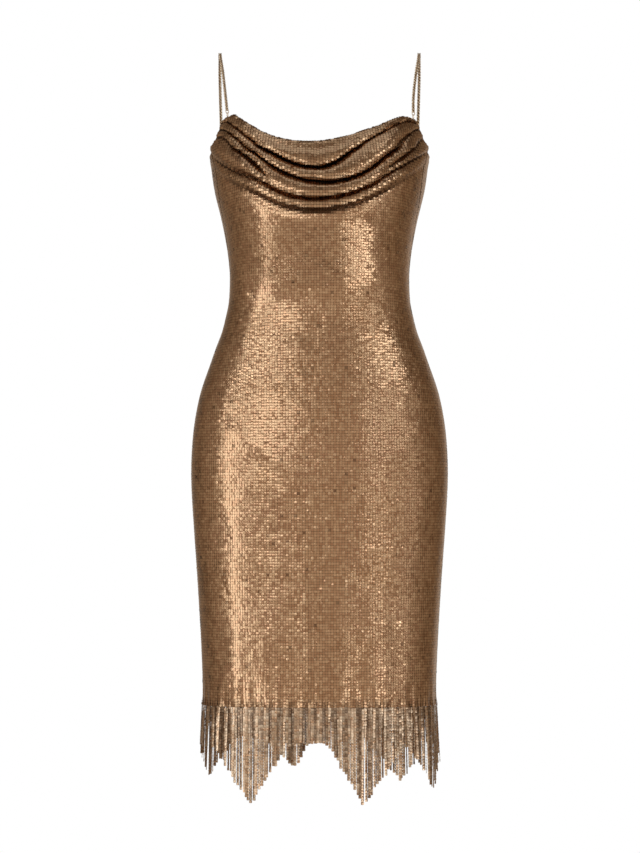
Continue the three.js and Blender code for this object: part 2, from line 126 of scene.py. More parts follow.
def meshPiece(name, points, faces, material, maps=None, values=None):
    points, faces = np.asarray(points, float).reshape(-1, 3), np.asarray(faces, int)
    sides = faces.shape[1]
    mesh = bpy.data.meshes.new(name)
    mesh.vertices.add(len(points))
    mesh.vertices.foreach_set("co", (points * mm).astype(np.float32).ravel())
    mesh.loops.add(faces.size)
    mesh.loops.foreach_set("vertex_index", faces.astype(np.int32).ravel())
    mesh.polygons.add(len(faces))
    mesh.polygons.foreach_set("loop_start", np.arange(0, faces.size, sides, dtype=np.int32))
    mesh.polygons.foreach_set("use_smooth", np.ones(len(faces), bool))
    mesh.update(calc_edges=True)
    for mapName, uv in (maps or {}).items():
        layer = mesh.uv_layers.new(name=mapName)
        layer.data.foreach_set("uv", uv[faces.ravel()].astype(np.float32).ravel())
    for valueName, value in (values or {}).items():
        layer = mesh.attributes.new(valueName, "FLOAT", "POINT")
        layer.data.foreach_set("value", value.astype(np.float32))
    mesh.validate()
    piece = addObject(name, mesh)
    mesh.materials.append(material)
    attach(piece, "root")
    return piece


# The worn form, in mm. A drop is measured down from the top of the straps.
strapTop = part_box("strap_left")[1].z / mm
form = {
    "hemDrop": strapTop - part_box("front_panel")[0].z / mm,
    "exponent": 2.3,  # of the rounded sections
    "seamGap": 0.3,
    "waveTop": 610, "waves": 0.35,  # where the hem's waves start, and their share of the full swing
    "from": 60.0, "to": 1000.0, "step": 2.0,  # the drops at which sections are worked out
    "quarterPoints": 201, "arcSteps": 480,  # fineness of a section before and after it is evened out
    "normalReach": 3,  # either side of a point, for the way the cloth faces there
}

hemWaves = named("swing count phase", [(1.5, 12, 0.6), (1.1, 8, 2.1), (0.8, 18, 4)])

sections = named("drop halfWidth front back seam", [
    (70, 134, 97, 91, 60), (81, 135, 99, 92, 58), (90, 137, 101, 92, 49), (105, 141, 106, 93, 47),
    (117, 143.5, 110, 94, 43), (125, 145, 113, 95, 34), (133, 144, 116, 95, 37), (140, 142.3, 118, 95, 39.5),
    (150, 140.4, 121, 95, 42.5), (159, 139.2, 123, 95, 44.5), (172, 137.4, 125, 95, 45),
    (187, 134.5, 126, 94.5, 41.5), (202, 130.7, 126, 94, 36), (218, 126.8, 124, 93, 31),
    (234, 123.5, 119, 92, 26), (260, 119, 109, 90, 18), (286, 116.4, 98, 88, 10), (305, 116.4, 91, 87, 7),
    (325, 117.7, 88, 88, 5), (344, 121.6, 88, 91, 3), (364, 126.8, 89, 95, 2), (383, 134, 91, 101, 1),
    (403, 141, 93, 107, 0), (441, 154, 97, 118, 0), (480, 162, 99, 124, 0), (520, 165.8, 100, 126, 0),
    (559, 166.3, 100, 125, 0), (617, 163, 99, 121, 0), (694, 157.5, 98, 115, 0), (774, 152.5, 98, 111, 0),
    (831, 150.5, 98, 109, 0), (856, 152, 99, 109, 0),
])


def buildRings():  # half of every section, from centre front to centre back, at even steps of arc
    drops, quarter = np.arange(form["from"], form["to"], form["step"]), form["quarterPoints"]
    angles = np.linspace(0, math.pi / 2, quarter)
    power = 2 / form["exponent"]
    across, along = np.sin(angles) ** power, np.clip(np.cos(angles), 0, 1) ** power
    shares = np.linspace(0, 1, form["arcSteps"] + 1)
    found = {"drops": drops, "x": [], "y": [], "half": [], "seam": []}
    for drop in drops:
        width, front, back, seam = (readSmooth(sections, "drop", k, drop)
                                    for k in ("halfWidth", "front", "back", "seam"))
        x = np.concatenate([width * across, width * across[-2::-1]])
        y = np.concatenate([-front * along, back * along[-2::-1]])
        arc = np.concatenate([[0], np.cumsum(np.hypot(np.diff(x), np.diff(y)))])
        found["x"].append(np.interp(shares * arc[-1], arc, x))
        found["y"].append(np.interp(shares * arc[-1], arc, y))
        found["half"].append(arc[-1])
        found["seam"].append(np.interp(-seam, y[:quarter], arc[:quarter]))
    return {k: np.array(v) for k, v in found.items()}


rings = buildRings()


def halfRound(drop):
    return np.interp(drop, rings["drops"], rings["half"])


def seamArc(drop):
    return np.interp(drop, rings["drops"], rings["seam"])


def frontRoom(drop):  # from centre front to the front panel's edge
    return seamArc(drop) - form["seamGap"] / 2


def backRoom(drop):  # from centre back to the back panel's edge
    return halfRound(drop) - seamArc(drop) - form["seamGap"] / 2


def readRings(name, drop, share):
    down = np.clip((drop - form["from"]) / form["step"], 0, len(rings["drops"]) - 1.001)
    place = np.clip(share * form["arcSteps"], 0, form["arcSteps"] - 0.001)
    i, j, table = down.astype(int), place.astype(int), rings[name]
    upper = mix(table[i, j], table[i, j + 1], place - j)
    lower = mix(table[i + 1, j], table[i + 1, j + 1], place - j)
    return mix(upper, lower, down - i)


def formPoint(drop, arc, outward):  # arc from centre front, moved out along the section's normal
    drop, arc, outward = np.broadcast_arrays(*(np.asarray(v, float) for v in (drop, arc, outward)))
    half = halfRound(drop)
    arc = np.where(arc > half, arc - 2 * half, arc)
    side = np.where(arc < 0, -1.0, 1.0)
    share, reach = np.abs(arc) / half, form["normalReach"] / half
    nearer, further = np.maximum(share - reach, 0), np.minimum(share + reach, 1)
    x, y = (readRings(name, drop, share) for name in "xy")
    dx, dy = (readRings(name, drop, further) - readRings(name, drop, nearer) for name in "xy")
    length = np.hypot(dx, dy)
    atEnd = (share < 1e-6) | (share > 1 - 1e-6)
    outX = np.where(atEnd, 0, dy / length)
    outY = np.where(atEnd, np.where(share < 0.5, -1, 1), -dx / length)
    turn = arc / half * math.pi
    wave = sum(w["swing"] * np.sin(w["count"] * turn + w["phase"]) for w in eachRow(hemWaves))
    out = outward + form["waves"] * smoothStep(drop, form["waveTop"], form["hemDrop"]) * wave
    return np.stack([side * (x + outX * out), y + outY * out, strapTop - drop], axis=-1)


# The cowl: five fold lines with a soft roll of mesh between each two, gathered into the side seams.
foldNames = ("neck", "one", "two", "three", "four")
cowl = {
    "foldDepth": 14, "leastFold": 0.9, "rollShares": (1, 1, 1, 0.62),  # the last roll stands lower
    "sideGain": 1.15, "spacingShare": 0.46, "tuckedShare": 0.24,  # height from side place and spacing
    "tuckFrom": 0.45, "tuckTo": 0.78,  # rolls tuck under inside the first share and lie open past the other
    "crease": 0.4, "crest": 0.6,  # how a roll's height is shared below and above the form
    "upperRows": 3, "neckRows": 2,  # rows of a roll above its crest, and those the neck edge stands in for
    "lastTightest": 0.35, "lastRows": 6,  # the last roll lies open and runs into the skirt
    "neckLeast": 0.42, "neckFull": 8, "neckRise": 0.25,  # how far the neck edge turns in, by the first roll
}

foldLines = named("across neck one two split three four", [
    (-1, 88, 94, 102, 111.5, 137.5, 155.5), (-0.96, 83.5, 92.5, 103, 112.5, 144, 160.5),
    (-0.92, 85.5, 96, 106, 114.5, 149.5, 165), (-0.83, 91, 104, 114, 122.5, 158, 171),
    (-0.72, 98.5, 113.5, 122, 133, 164, 178), (-0.6, 106, 121.5, 133, 148, 170, 186),
    (-0.45, 113, 131.5, 149, 163.5, 178, 196), (-0.3, 117.5, 143, 160.5, 173.5, 186.5, 203.5),
    (-0.15, 119.5, 150, 167.5, 179.5, 191, 207.5), (0, 119, 151.5, 170, 180.5, 191.5, 208.5),
    (0.15, 116, 144.5, 169.5, 179.5, 189.5, 206), (0.3, 111.5, 129.5, 165, 175, 184.5, 201),
    (0.45, 105.5, 118, 155.5, 167, 176.5, 193.5), (0.6, 99.5, 109.5, 139.5, 157, 166.5, 184),
    (0.72, 94, 102.5, 126, 146, 156.5, 175), (0.83, 89, 96, 116, 131, 147.5, 166),
    (0.92, 86, 92, 107.5, 120, 139.5, 158), (0.96, 86.5, 92, 103, 116.5, 134.5, 153.5),
    (1, 90, 96, 101, 112.5, 129.5, 148),
])

# One roll from the crease above it to the crease below, tucked under in the middle and open at the sides.
rollProfile = named("fall out openFall openOut", [
    (-0.13, 0.0, 0.0, 0.0), (0.04, 0.28, 0.16, 0.4), (0.32, 0.74, 0.36, 0.84), (0.62, 1.0, 0.55, 1.0),
    (0.88, 0.95, 0.74, 0.82), (1.0, 0.66, 0.85, 0.54), (0.87, 0.28, 0.93, 0.24),
])
splitProfile = named("fall out", [(0.0, 0.0), (0.2, 0.6), (0.45, 1.0), (0.7, 0.9), (0.88, 0.4)])
splitShare = named("across share", [(-1, 1), (-0.62, 1), (-0.46, 0), (0.56, 0), (0.78, 0.85), (1, 0.85)])
neckTurn = named("below behind", [(9.0, 7.5), (3.6, 6.8), (0.7, 4.6), (0.2, 2.2), (1.6, 0.3)])
settling = named("below out", [(2.5, -0.26), (8, -0.2)])  # the cloth falls back in under the last fold


def tuck(across):
    return 1 - smoothStep(np.abs(across), cowl["tuckFrom"], cowl["tuckTo"])


def foldHeight(across, spacing):
    least, side = cowl["leastFold"], 1 - np.abs(across) ** 3
    full = least + (cowl["foldDepth"] - least) * np.minimum(1, cowl["sideGain"] * side)
    share = cowl["spacingShare"] + cowl["tuckedShare"] * tuck(across)
    return np.minimum(full, np.maximum(least, spacing * share))


def rollsAt(across):
    lines = [readSmooth(foldLines, "across", name, across) for name in foldNames]
    rolls = [{"upper": upper, "lower": lower, "span": lower - upper,
              "height": foldHeight(across, lower - upper) * share}
             for upper, lower, share in zip(lines, lines[1:], cowl["rollShares"])]
    for roll, above, below in zip(rolls, rolls[:1] + rolls, rolls[1:] + rolls[-1:]):
        for where, near in (("Above", above), ("Below", below)):
            roll["crease" + where] = -cowl["crease"] * np.minimum(roll["height"], near["height"])
            roll["rise" + where] = np.minimum(roll["span"], near["span"])
    return rolls


def rollRows(roll, across, tightest=1):  # (drop, out) for each row of one roll
    t = np.minimum(tuck(across), tightest)
    rows = []
    for k, p in enumerate(eachRow(rollProfile)):
        fall = mix(p["openFall"], p["fall"], tuck(across) if k == 0 else t)
        drop = roll["upper"] + fall * np.where(fall < 0, roll["riseAbove"], roll["span"])
        if k == len(rollProfile["fall"]) - 1:  # the last row tucks back under the next roll
            drop = roll["lower"] - (1 - fall) * roll["riseBelow"]
        crease = roll["creaseAbove"] if k < cowl["upperRows"] else roll["creaseBelow"]
        share = mix(p["openOut"], p["out"], t)
        rows.append((drop, mix(crease, cowl["crest"] * roll["height"], share)))
    return rows


def splitRollRows(roll, across):  # one roll in the middle, two narrower ones by the side seams
    single = rollRows(roll, across) + [(roll["lower"], roll["creaseBelow"])]
    middle = readSmooth(foldLines, "across", "split", across)
    formed = np.interp(across, splitShare["across"], splitShare["share"])
    half = len(splitProfile["fall"])
    rows = []
    for i in range(2 * half):
        place = i / (2 * half) * (len(single) - 1)
        k = int(place)
        drop, out = (mix(single[k][c], single[k + 1][c], place - k) for c in (0, 1))
        start, end = (middle, roll["lower"]) if i >= half else (roll["upper"], middle)
        height = np.minimum(roll["height"], cowl["leastFold"] + cowl["crest"] * (end - start))
        fall, share = splitProfile["fall"][i % half], splitProfile["out"][i % half]
        rows.append((mix(drop, start + fall * (end - start), formed),
                     mix(out, (share - cowl["crease"]) * height, formed)))
    return rows


def levelDrop(level, edge, edgeAtSeam):  # levels spread evenly between a shaped edge and the hem
    return edge + (level - edgeAtSeam) * (form["hemDrop"] - edge) / (form["hemDrop"] - edgeAtSeam)


def refine(rows, steps):  # a smooth curve through each row's values, with extra steps between
    rows = np.array([np.stack(np.broadcast_arrays(*row)) for row in rows])
    padded = np.concatenate([2 * rows[:1] - rows[1:2], rows, 2 * rows[-1:] - rows[-2:-1]])
    fine = []
    for k in range(len(rows) - 1):
        p0, p1, p2, p3 = padded[k:k + 4]
        g0, g1, g2 = (np.maximum(np.sqrt(((b - a) ** 2).sum(axis=0)), 0.05) ** 0.5
                      for a, b in ((p0, p1), (p1, p2), (p2, p3)))
        slopeOut = ((p1 - p0) / g0 - (p2 - p0) / (g0 + g1) + (p2 - p1) / g1) * g1
        slopeIn = ((p2 - p1) / g1 - (p3 - p1) / (g1 + g2) + (p3 - p2) / g2) * g1
        fine += [hermite(s / steps[k], p1, slopeOut, p2, slopeIn) for s in range(steps[k])]
    return np.array(fine + [rows[-1]])


# Soft creases and swells of the worn cloth: place round the form and down it, run, spread and rise.
softForms = named("arc drop angle run spread rise", [
    (-98, 500, 62, 60, 10, 0.4), (-82, 516, 60, 66, 10, 0.4), (-64, 524, 58, 60, 10, 0.4),
    (104, 512, -60, 64, 11, 0.4), (84, 532, -60, 60, 11, 0.4), (66, 548, -58, 56, 11, 0.35),
    (-14, 770, 3, 95, 7, 1.6), (-70, 780, -4, 70, 8, 0.3), (88, 784, 3, 70, 8, 0.8),
])

# The same on the back, with the arc from centre back: drags at the small of the back and over the seat.
backForms = named("arc drop angle run spread rise", [
    (-8, 322, 86, 60, 9, 0.9), (14, 343, 94, 70, 10, 0.7), (-95, 352, 68, 55, 9, 0.8),
    (98, 346, -66, 58, 9, 0.8), (-112, 452, 60, 60, 11, 0.6), (108, 462, -58, 62, 11, 0.6),
    (-24, 770, -3, 90, 8, 1.3), (62, 778, 4, 80, 8, 0.9), (-92, 786, 3, 70, 8, 0.8),
    (-60, 240, 20, 45, 9, 0.6), (70, 236, -22, 45, 9, 0.6),
])


def softness(forms, arc, drop):
    total = np.zeros(np.broadcast(arc, drop).shape)
    for f in eachRow(forms):
        a = math.radians(f["angle"])
        along = (drop - f["drop"]) * math.cos(a) + (arc - f["arc"]) * math.sin(a)
        across = (arc - f["arc"]) * math.cos(a) - (drop - f["drop"]) * math.sin(a)
        total += f["rise"] * np.exp(-(across / f["spread"]) ** 2 - (along / f["run"]) ** 4)
    return total


# The fringe hangs in small clumps that pull the hem into ripples. Rates are radians for each mm round.
ripple = {
    "swing": 1.2, "rate": 0.45, "wander": 1.1, "wanderRate": 0.09,
    "lesserSwing": 0.8, "lesserRate": 0.28, "lesserPhase": 2,
    "reaches": ((50, 0.3), (12, 0.5)),  # how far up the cloth the ripples reach, with a share for each
    "shadeGain": 3,
}


def clump(arc):
    wander = ripple["wander"] * np.sin(arc * ripple["wanderRate"])
    lesser = ripple["lesserSwing"] * np.sin(arc * ripple["lesserRate"] + ripple["lesserPhase"])
    return ripple["swing"] * np.sin(arc * ripple["rate"] + wander) + lesser


def clumpSlope(arc):
    return clump(arc + 0.5) - clump(arc - 0.5)


def clumpShade(arc):  # how deep in shadow the cloth and strands lie between two clumps
    return 0.5 - 0.5 * np.tanh(ripple["shadeGain"] * clumpSlope(arc))


def hemRipple(arc, drop):
    hem = form["hemDrop"]
    return sum(share * smoothStep(drop, hem - reach, hem) for reach, share in ripple["reaches"]) * clump(arc)


cloth = {
    "columns": 181, "skirtTop": 168, "skirtRows": 19, "evenShare": 0.88,  # rows lie closer at the top
    "foldSteps": 5, "skirtSteps": 16, "backRows": 4, "backSteps": 8,
    "columnsLevel": 153,  # the drop at which the columns are spread out evenly
    "settle": 14, "topSettle": -0.08,
    "softFrom": 215, "softFull": 260,  # below the cowl, where the soft creases come in
}


def skirtLevels():
    share, even = np.linspace(0, 1, cloth["skirtRows"]), cloth["evenShare"]
    return mix(cloth["skirtTop"], form["hemDrop"], share * even + (1 - even) * share * share)


def frontSurface():
    share, level = np.linspace(-1, 1, cloth["columns"]), cloth["columnsLevel"]
    across = formPoint(level, share * frontRoom(level), 0)[:, 0] / formPoint(level, seamArc(level), 0)[0]
    neck, lowest = (readSmooth(foldLines, "across", name, across) for name in ("neck", "four"))
    rolls = rollsAt(across)
    turn = mix(cowl["neckLeast"], 1, np.minimum(1, rolls[0]["height"] / cowl["neckFull"]))
    rows = [(neck + t["below"] * turn, cowl["neckRise"] * rolls[0]["height"] - t["behind"] * turn)
            for t in eachRow(neckTurn)]
    rows += rollRows(rolls[0], across)[cowl["neckRows"]:] + rollRows(rolls[1], across)
    rows += splitRollRows(rolls[2], across)
    rows += rollRows(rolls[3], across, cowl["lastTightest"])[:cowl["lastRows"]]
    settle = foldHeight(across, cloth["settle"])
    rows += [(lowest + s["below"], s["out"] * settle) for s in eachRow(settling)]
    steps = [cloth["foldSteps"]] * len(rows)
    lowestAtSeam = mix(foldLines["four"][0], foldLines["four"][-1], (across + 1) / 2)
    for i, level in enumerate(skirtLevels()):
        out = (cloth["topSettle"] if i == 0 else 0) * settle
        rows.append((levelDrop(level, lowest, lowestAtSeam), out))
        steps.append(cloth["skirtSteps"])
    fine = refine(rows, steps)
    drop, out = fine[:, 0], fine[:, 1]
    arc = share * frontRoom(drop)
    soft = softness(softForms, arc, drop) + hemRipple(arc, drop)
    out = out + soft * smoothStep(drop, cloth["softFrom"], cloth["softFull"])
    return {"points": formPoint(drop, arc, out), "arc": arc, "limit": frontRoom(drop)}


backEdge = named("share drop", [
    (0, 173), (0.22, 170.5), (0.42, 162), (0.6, 151.5), (0.75, 145), (0.88, 137.5), (1, 131),
])
backTop = backEdge["drop"][-1]


def backDrop(share, level):
    return levelDrop(level, readSmooth(backEdge, "share", "drop", np.abs(share)), backTop)


def backSurface():
    upper = np.linspace(backTop, cloth["skirtTop"], cloth["backRows"], endpoint=False)
    levels = np.concatenate([upper, skirtLevels()])
    fine = np.concatenate([np.linspace(a, b, cloth["backSteps"], endpoint=False)
                           for a, b in zip(levels, levels[1:])])
    share = np.linspace(-1, 1, cloth["columns"])
    drop = backDrop(share[None, :], np.append(fine, levels[-1])[:, None])
    fromBack = share * backRoom(drop)
    arc = np.where(share <= 0, halfRound(drop) + fromBack, -(halfRound(drop) - fromBack))
    out = softness(backForms, fromBack, drop) + hemRipple(arc, drop)
    return {"points": formPoint(drop, arc, out), "arc": fromBack, "limit": backRoom(drop)}


def newMaterial(name):
    material = bpy.data.materials.new(name)
    material.use_nodes = True
    tree = material.node_tree
    tree.nodes.clear()
    return material, tree


# Aluminium plate mesh, pressed, anodised bronze and lacquered: every plate is a small soft mirror,
# and the thin lacquer lays a paler gleam over the brown.
plateMesh = {
    "colour": "#deb48c", "deep": "#b78a62", "warm": "#c99a7a", "shadow": "#4a2f1b",
    "roughness": (0.16, 0.28), "coat": 0.15, "coatRoughness": 0.15,
    "patch": 60,  # mm across the slow drifts of tone
}

# The strands are cut from the same sheet. Their colours are painted paler than the plates', a painted
# highlight for strands that catch the light, and they are a little duller.
fringeStrand = {
    "colour": "#f6d8b8", "deep": "#d3a780", "warm": "#e6be9c", "shadow": "#4a2f1b",
    "roughness": (0.25, 0.37), "coat": 0.3, "coatRoughness": 0.2,
    "patch": 40,
}


def plateMaterial(name, look):
    material, tree = newMaterial(name)
    # each plate's own random tone; on the cloth's plates it also carries a painted highlight on the crests
    tone = addNode(tree, "ShaderNodeAttribute", {"attribute_name": "plateToneAndSheen"})
    place = addNode(tree, "ShaderNodeTexCoord")
    drift = addNode(tree, "ShaderNodeTexNoise", {"Scale": 1 / (look["patch"] * mm), "Detail": 2.0},
                    {"Vector": place.outputs["Object"]})
    hue = addNode(tree, "ShaderNodeMix", {
        "data_type": "RGBA", 6: linear(look["deep"]), 7: linear(look["warm"])}, {0: drift.outputs["Fac"]})
    shade = addNode(tree, "ShaderNodeMix", {"data_type": "RGBA", 7: linear(look["colour"])},
                    {0: tone.outputs["Fac"], 6: hue.outputs[2]})
    # plateShade mixes in the shadow colour: painted shade in hollows, under rolls, between the hem's clumps
    # and round each plate's rim, and on a few random plates
    held = addNode(tree, "ShaderNodeAttribute", {"attribute_name": "plateShade"})
    dim = addNode(tree, "ShaderNodeMix", {"data_type": "RGBA", 7: linear(look["shadow"])},
                  {0: held.outputs["Fac"], 6: shade.outputs[2]})
    smooth, rubbedAndRimShade = look["roughness"]
    rough = addNode(tree, "ShaderNodeMapRange", {"To Min": smooth, "To Max": rubbedAndRimShade},
                    {"Value": tone.outputs["Fac"]})
    shader = addNode(tree, "ShaderNodeBsdfPrincipled", {
        "Metallic": 1.0, "Coat Weight": look["coat"], "Coat Roughness": look["coatRoughness"]},
        {"Base Color": dim.outputs[2], "Roughness": rough.outputs["Result"]})
    addNode(tree, "ShaderNodeOutputMaterial", None, {"Surface": shader.outputs["BSDF"]})
    return material


# The rings and prongs behind the plates: the same metal in shadow, duller and darker.
ringSide = {
    "colour": "#94704f", "gap": "#54402d", "roughness": 0.45,
    "pitch": 3.6, "ring": 0.36, "wire": (0.04, 0.16),  # mm, then shares of the pitch
    "bump": 0.6, "relief": 0.6,
}


def ringMaterial():
    material, tree = newMaterial("ringSideOfMesh")
    place = addNode(tree, "ShaderNodeUVMap", {"uv_map": "cloth"})
    turns = addNode(tree, "ShaderNodeVectorMath", {"operation": "SCALE", "Scale": 1 / ringSide["pitch"]},
                    {0: place.outputs["UV"]})
    cell = addNode(tree, "ShaderNodeVectorMath", {"operation": "FRACTION"}, {0: turns.outputs[0]})
    centred = addNode(tree, "ShaderNodeVectorMath", {"operation": "SUBTRACT", 1: (0.5, 0.5, 0)},
                      {0: cell.outputs[0]})
    away = addNode(tree, "ShaderNodeVectorMath", {"operation": "LENGTH"}, {0: centred.outputs[0]})
    offRing = addNode(tree, "ShaderNodeMath", {"operation": "SUBTRACT", 1: ringSide["ring"]},
                      {0: away.outputs["Value"]})
    distance = addNode(tree, "ShaderNodeMath", {"operation": "ABSOLUTE"}, {0: offRing.outputs[0]})
    crest, foot = ringSide["wire"]
    raised = addNode(tree, "ShaderNodeMapRange", {
        "From Min": crest, "From Max": foot, "To Min": 1.0, "To Max": 0.0}, {"Value": distance.outputs[0]})
    # painted shade in the gaps between the wires
    shade = addNode(tree, "ShaderNodeMix", {
        "data_type": "RGBA", 6: linear(ringSide["gap"]), 7: linear(ringSide["colour"])},
        {0: raised.outputs["Result"]})
    bump = addNode(tree, "ShaderNodeBump", {
        "Strength": ringSide["bump"], "Distance": ringSide["relief"] * mm},
        {"Height": raised.outputs["Result"]})
    shader = addNode(tree, "ShaderNodeBsdfPrincipled", {"Metallic": 1.0, "Roughness": ringSide["roughness"]},
                     {"Base Color": shade.outputs[2], "Normal": bump.outputs["Normal"]})
    addNode(tree, "ShaderNodeOutputMaterial", None, {"Surface": shader.outputs["BSDF"]})
    return material


# Gilt brass chain: drawn wire, closed into links and gold plated, so it is yellower and brighter.
giltChain = {
    "colour": "#fff2dc", "worn": "#ffdfba", "shadow": "#5f3d25", "roughness": (0.25, 0.45),
    "wear": 350.0,  # worn spots in a metre
}


def chainMaterial():
    material, tree = newMaterial("giltBrassChain")
    place = addNode(tree, "ShaderNodeTexCoord")
    wear = addNode(tree, "ShaderNodeTexNoise", {"Scale": giltChain["wear"], "Detail": 3.0},
                   {"Vector": place.outputs["Object"]})
    shade = addNode(tree, "ShaderNodeMix", {
        "data_type": "RGBA", 6: linear(giltChain["worn"]), 7: linear(giltChain["colour"])},
        {0: wear.outputs["Fac"]})
    depth = addNode(tree, "ShaderNodeAttribute", {"attribute_name": "linkShade"})
    dark = addNode(tree, "ShaderNodeMix", {"data_type": "RGBA", 7: linear(giltChain["shadow"])},
                   {0: depth.outputs["Fac"], 6: shade.outputs[2]})
    smooth, rubbedAndRimShade = giltChain["roughness"]
    rough = addNode(tree, "ShaderNodeMapRange", {"To Min": smooth, "To Max": rubbedAndRimShade},
                    {"Value": wear.outputs["Fac"]})
    shader = addNode(tree, "ShaderNodeBsdfPrincipled", {"Metallic": 1.0},
                     {"Base Color": dark.outputs[2], "Roughness": rough.outputs["Result"]})
    addNode(tree, "ShaderNodeOutputMaterial", None, {"Surface": shader.outputs["BSDF"]})
    return material


plateFinish = plateMaterial("anodisedPlateMesh", plateMesh)
strandFinish = plateMaterial("anodisedFringeStrand", fringeStrand)
ringFinish, chainFinish = ringMaterial(), chainMaterial()
print("stage: finishes")


studio = {
    "distance": 8.0, "shownHeight": 1.109, "aim": (0.0006, -0.4821),
    "floor": -1.3, "floorRadius": 3.6, "floorSides": 96, "floorColour": "#efedea", "floorRoughness": 0.9,
    "panelAim": (0, 0, -0.5), "panelColour": (0.88, 1.0, 1.09),  # a little cooler than the room
    "fillSize": 4.0, "fillWatts": 190, "fillHeight": 2.8,
}


def camera():
    data = bpy.data.cameras.new("camera")
    data.lens = data.sensor_width * studio["distance"] / studio["shownHeight"]
    seat = addObject("camera", data)
    seat.location = (studio["aim"][0], -studio["distance"], studio["aim"][1])
    seat.rotation_euler = (math.pi / 2, 0, 0)
    bpy.context.scene.camera = seat


def floor():
    sides = studio["floorSides"]
    angles = np.linspace(0, 2 * math.pi, sides, endpoint=False)
    rim = np.stack([np.cos(angles), np.sin(angles), 0 * angles], axis=-1) * studio["floorRadius"]
    mesh = bpy.data.meshes.new("floor")
    mesh.from_pydata([tuple(p + (0, 0, studio["floor"])) for p in rim], [], [tuple(range(sides))])
    material, tree = newMaterial("paleFloor")
    shader = addNode(tree, "ShaderNodeBsdfPrincipled", {
        "Base Color": linear(studio["floorColour"]), "Roughness": studio["floorRoughness"]})
    addNode(tree, "ShaderNodeOutputMaterial", None, {"Surface": shader.outputs["BSDF"]})
    mesh.materials.append(material)
    piece = addObject("floor", mesh)
    piece.visible_glossy = False  # kept out of the plates' reflections


# Panels of light: bearing round the dress from the camera's side, height, distance, size and strength.
lightPanels = named("bearing height distance width tall glow", [
    (-54, -0.95, 3.0, 0.65, 1.5, 2.0), (60, -0.65, 3.0, 0.35, 0.3, 1.1),
    (-24, -0.12, 3.0, 1.7, 0.45, 2.0), (-57, -0.12, 3.0, 1.3, 0.4, 1.6), (46, -0.1, 3.0, 0.6, 0.3, 1.9),
    (26, -0.3, 3.0, 0.5, 0.22, 3.4), (-27, -0.27, 3.0, 0.6, 0.2, 1.8),
    (51, -1.22, 1.35, 0.4, 0.24, 4.0), (31, -1.22, 1.9, 0.4, 0.3, 3.6), (-64, -1.2, 1.4, 0.4, 0.26, 1.6),
    (-40, 1.2, 0.9, 0.5, 0.2, 1.6), (42, 1.2, 0.9, 0.4, 0.2, 1.6),
    (-46, 1.02, 3.0, 2.2, 0.36, 4.2), (50, 1.02, 3.0, 2.2, 0.36, 4.2),
    (-40, -1.24, 0.9, 0.4, 0.14, 2.2), (40, -1.24, 0.9, 0.4, 0.14, 2.2),
    (0, 2.6, 0.4, 2.0, 1.6, 0.5),
])


def addLamp(name, width, tall, watts):
    data = bpy.data.lights.new(name, "AREA")
    data.shape, data.size, data.size_y, data.energy = "RECTANGLE", width, tall, watts
    lamp = addObject(name, data)
    lamp.visible_camera = False
    return lamp


def lights():
    for k, p in enumerate(eachRow(lightPanels)):
        watts = p["glow"] * math.pi * p["width"] * p["tall"]  # for that brightness
        lamp = addLamp(f"panel{k}", p["width"], p["tall"], watts)
        lamp.data.color = studio["panelColour"]
        a = math.radians(p["bearing"])
        lamp.location = (math.sin(a) * p["distance"], -math.cos(a) * p["distance"], p["height"])
        lamp.rotation_euler = (Vector(studio["panelAim"]) - lamp.location).to_track_quat("-Z", "Y").to_euler()
        lamp.visible_diffuse = False  # only the metal mirrors the panels
    fill = addLamp("floorFill", studio["fillSize"], studio["fillSize"], studio["fillWatts"])
    fill.location = (0, 0, studio["fillHeight"])
    fill.visible_glossy = False  # it lights the floor and shows in no mirror


# The room is pale to look at. As light it is brighter in front and behind than at the sides, and it
# dims toward the top and the bottom. The warmth is how much green and blue fall below red.
room = {
    "seen": 1.0, "rightward": 0.15, "zenith": 0.42, "nadir": 0.25, "nadirEdge": (-0.97, -0.74),
    "warmth": (0.1, 0.21),
}
roomGlow = named("place glow warm", [
    (-1, 0.57, 1), (-0.3, 0.45, 1.1), (0.35, 0.27, 1.9), (0.8, 0.25, 1.9), (0.97, 0.5, 1.2),
])


